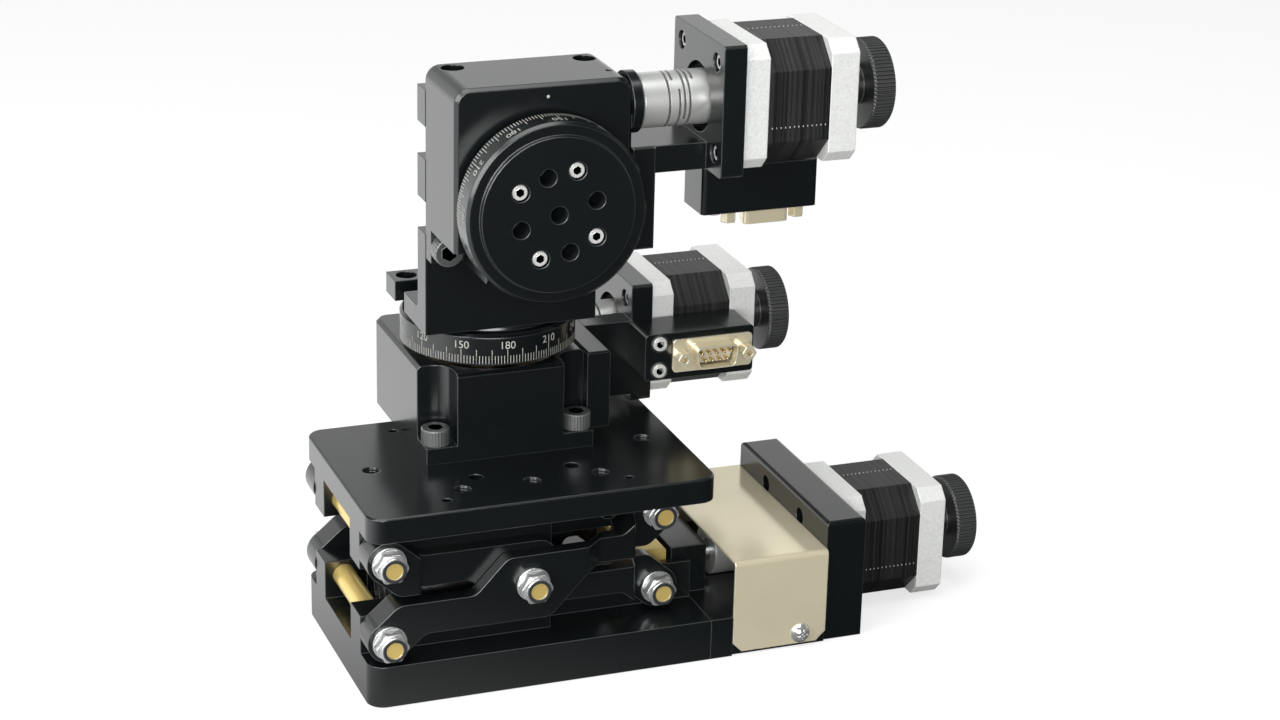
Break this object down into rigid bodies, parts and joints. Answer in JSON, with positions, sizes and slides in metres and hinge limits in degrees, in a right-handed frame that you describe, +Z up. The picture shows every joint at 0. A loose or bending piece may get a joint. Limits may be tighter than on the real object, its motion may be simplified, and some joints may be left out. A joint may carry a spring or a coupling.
{
  "type": "motorised scissor lift and rotation stage",
  "caption": "Motorised lift stage: a scissor jack raises a platform with a rotary stage, an angle bracket and a second rotary stage whose dial faces the front.",
  "frame": {"origin": "middle of the lift platform, on the plane the base stands on", "axes": "+X towards the motors and their knobs, +Y away from the graduated face of the upper dial, +Z up"},
  "size_m": [0.2417, 0.1256, 0.2238],
  "materials": {
    "anodised_black": "satin black anodised",
    "knob_black": "satin black anodised, knurled rim",
    "cast_aluminium": "bead blasted casting",
    "lamination_steel": "dark laminated steel",
    "brass": "turned and milled",
    "bronze": "hobbed bronze",
    "stainless": "bright stainless",
    "oxide_steel": "black oxide",
    "nickel_sheet": "bright nickel plate",
    "ground_steel": "ground",
    "pale_aluminium": "turned, clear anodised"
  },
  "bodies": {
    "base": {"base_body": "anodised_black", "drive_block": "anodised_black", "drive_cover": "nickel_sheet", "cover_screws": "stainless", "motor_plate": "anodised_black", "lift_motor_caps": "cast_aluminium", "lift_motor_stack": "lamination_steel", "lift_motor_screws": "oxide_steel", "screw_bearings": "ground_steel", "lower_pivot_shaft": "brass", "lower_pivot_nuts": "stainless"},
    "rising_arm": {"rising_arms": "anodised_black", "centre_shaft": "brass", "centre_nuts": "stainless"},
    "falling_arm": {"falling_arms": "anodised_black"},
    "platform": {"platform": "anodised_black", "upper_pivot_shaft": "brass", "upper_pivot_nuts": "stainless", "lower_housing": "anodised_black", "lower_motor_bracket": "anodised_black", "lower_motor_caps": "cast_aluminium", "lower_motor_stack": "lamination_steel", "lower_cap_screws": "oxide_steel", "lower_connector_box": "anodised_black", "lower_connector_metal": "nickel_sheet", "lower_foot_screws": "oxide_steel", "lower_bearings": "ground_steel"},
    "slider": {"slider_shaft": "brass", "slider_nuts": "stainless"},
    "carriage": {"carriage": "brass", "carriage_nuts": "stainless"},
    "lift_screw": {"lead_screw": "ground_steel", "lift_coupling": "pale_aluminium", "lift_motor_shaft": "ground_steel", "lift_knob": "knob_black"},
    "azimuth_table": {"lower_dial": "anodised_black", "lower_worm_wheel": "bronze", "lower_dial_screws": "stainless", "angle_bracket": "anodised_black", "bracket_screws": "oxide_steel", "upper_housing": "anodised_black", "upper_motor_bracket": "anodised_black", "upper_motor_caps": "cast_aluminium", "upper_motor_stack": "lamination_steel", "upper_cap_screws": "oxide_steel", "upper_connector_box": "anodised_black", "upper_connector_metal": "nickel_sheet", "upper_foot_screws": "oxide_steel", "upper_bearings": "ground_steel"},
    "azimuth_worm": {"lower_worm_shaft": "ground_steel", "lower_coupling": "pale_aluminium", "lower_motor_shaft": "ground_steel", "lower_knob": "knob_black"},
    "tilt_table": {"upper_dial": "anodised_black", "upper_worm_wheel": "bronze", "upper_dial_screws": "stainless"},
    "tilt_worm": {"upper_worm_shaft": "ground_steel", "upper_coupling": "pale_aluminium", "upper_motor_shaft": "ground_steel", "upper_knob": "knob_black"}
  },
  "joints": [
    {"name": "lift", "type": "hinge", "parent": "base", "child": "rising_arm", "pos_m": [-0.0555, 0, 0.0235], "axis": [0, -1, 0], "range_deg": [-0.8, 20]},
    {"name": "arm_cross", "type": "hinge", "parent": "rising_arm", "child": "falling_arm", "pos_m": [-0.00445, 0, 0.0381], "axis": [0, -1, 0], "range_deg": [-40.5, 2.1]},
    {"name": "platform_pivot", "type": "hinge", "parent": "falling_arm", "child": "platform", "pos_m": [-0.0555, 0, 0.0527], "axis": [0, -1, 0], "range_deg": [-1.3, 20.5]},
    {"name": "carriage_pivot", "type": "hinge", "parent": "falling_arm", "child": "carriage", "pos_m": [0.04661, 0, 0.0235], "axis": [0, -1, 0], "range_deg": [-1.3, 20.5]},
    {"name": "slider_pivot", "type": "hinge", "parent": "rising_arm", "child": "slider", "pos_m": [0.04661, 0, 0.0527], "axis": [0, -1, 0], "range_deg": [-20.5, 1.3]},
    {"name": "lead_screw_turn", "type": "hinge", "parent": "base", "child": "lift_screw", "pos_m": [0, 0, 0.0227], "axis": [1, 0, 0], "range_deg": [-63.2, 1459]},
    {"name": "azimuth", "type": "hinge", "parent": "platform", "child": "azimuth_table", "pos_m": [0, 0.02515, 0.0696], "axis": [0, 0, 1], "continuous": true},
    {"name": "azimuth_worm_turn", "type": "hinge", "parent": "platform", "child": "azimuth_worm", "pos_m": [0, 0.05435, 0.0931], "axis": [1, 0, 0], "continuous": true},
    {"name": "tilt", "type": "hinge", "parent": "azimuth_table", "child": "tilt_table", "pos_m": [0, -0.0012, 0.1724], "axis": [0, -1, 0], "continuous": true},
    {"name": "tilt_worm_turn", "type": "hinge", "parent": "azimuth_table", "child": "tilt_worm", "pos_m": [0, -0.0247, 0.2016], "axis": [1, 0, 0], "continuous": true}
  ],
  "couplings": [
    {"joint": "arm_cross", "follows": "lift", "ratio": -2},
    {"joint": "platform_pivot", "follows": "lift", "ratio": 1},
    {"joint": "carriage_pivot", "follows": "lift", "ratio": 1},
    {"joint": "slider_pivot", "follows": "lift", "ratio": -1},
    {"joint": "lead_screw_turn", "follows": "lift", "ratio": 72.7},
    {"joint": "azimuth_worm_turn", "follows": "azimuth", "ratio": 90},
    {"joint": "tilt_worm_turn", "follows": "tilt", "ratio": 90}
  ]
}
